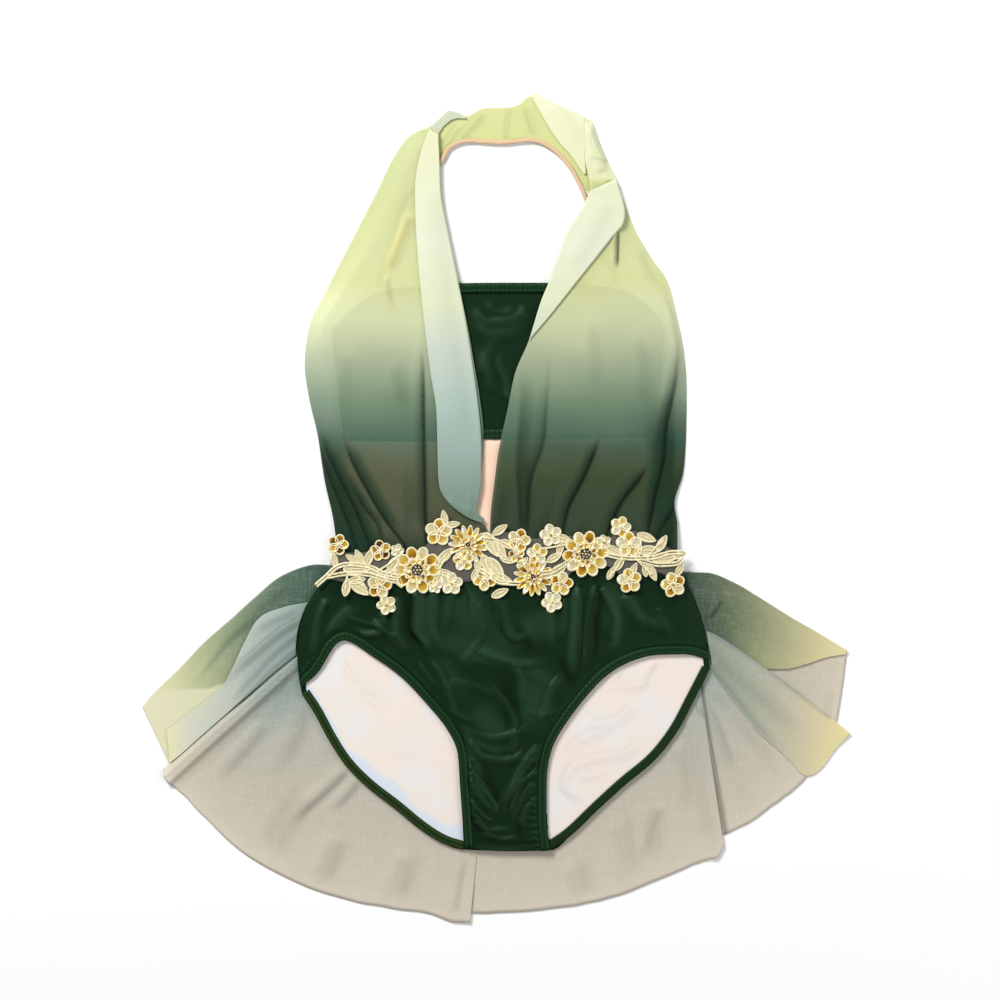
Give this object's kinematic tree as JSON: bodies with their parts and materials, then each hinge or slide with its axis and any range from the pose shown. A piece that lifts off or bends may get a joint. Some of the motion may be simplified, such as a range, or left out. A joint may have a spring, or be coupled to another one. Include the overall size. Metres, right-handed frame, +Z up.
{
  "type": "skirted leotard",
  "caption": "Halter dance leotard laid flat: sheer draped bodice over a bandeau, floral applique belt, high-cut brief and a short mesh skirt open at the front.",
  "frame": {"origin": "middle of the garment's box, on the surface that it lies on", "axes": "+X to the right of the picture, +Y from the hem to the neck, +Z up from the surface towards the viewer"},
  "size_m": [0.6015, 0.7052, 0.0115],
  "materials": {
    "green_lycra": "dark green nylon lycra with a soft satin sheen",
    "green_casing": "the same lycra, stretched over elastic and stitched",
    "white_lining": "matt off-white tricot lining",
    "nude_lining": "matt nude tricot",
    "nude_elastic": "ribbed nude elastic",
    "mesh_drape": "sheer power mesh, lime at the neck to dark green at the waist",
    "mesh_lime": "sheer power mesh, lime end of its print",
    "mesh_right_side": "sheer power mesh, dark green to lime at the hem",
    "mesh_wrong_side": "sheer power mesh, dull wrong side",
    "mesh_turned": "sheer power mesh turned back, pale wrong side",
    "gold_applique": "gold and cream embroidery with sequins and beads on net"
  },
  "bodies": {
    "root": {"skirt_back_left": "mesh_wrong_side", "skirt_back_right": "mesh_wrong_side", "skirt_side_right": "mesh_wrong_side", "skirt_front_left": "mesh_right_side", "skirt_turn_left": "mesh_turned", "skirt_front_right": "mesh_right_side", "skirt_turn_right": "mesh_turned", "brief_back": "green_lycra", "brief_lining": "white_lining", "brief_front": "green_lycra", "leg_band_front_left": "green_casing", "leg_band_front_right": "green_casing", "leg_band_back_left": "green_casing", "leg_band_back_right": "green_casing", "bandeau_back": "green_lycra", "bandeau_front": "green_lycra", "bandeau_top_band": "green_casing", "bandeau_bottom_band": "green_casing", "midriff_back": "nude_lining", "midriff_front": "nude_lining", "drape_left": "mesh_drape", "drape_right": "mesh_drape", "facing_left": "mesh_turned", "facing_right": "mesh_turned", "neck_band": "mesh_lime", "neck_tuck": "mesh_turned", "neck_flap": "mesh_turned", "shoulder_roll": "mesh_lime", "neck_strap": "nude_elastic", "applique_belt": "gold_applique"}
  },
  "joints": []
}
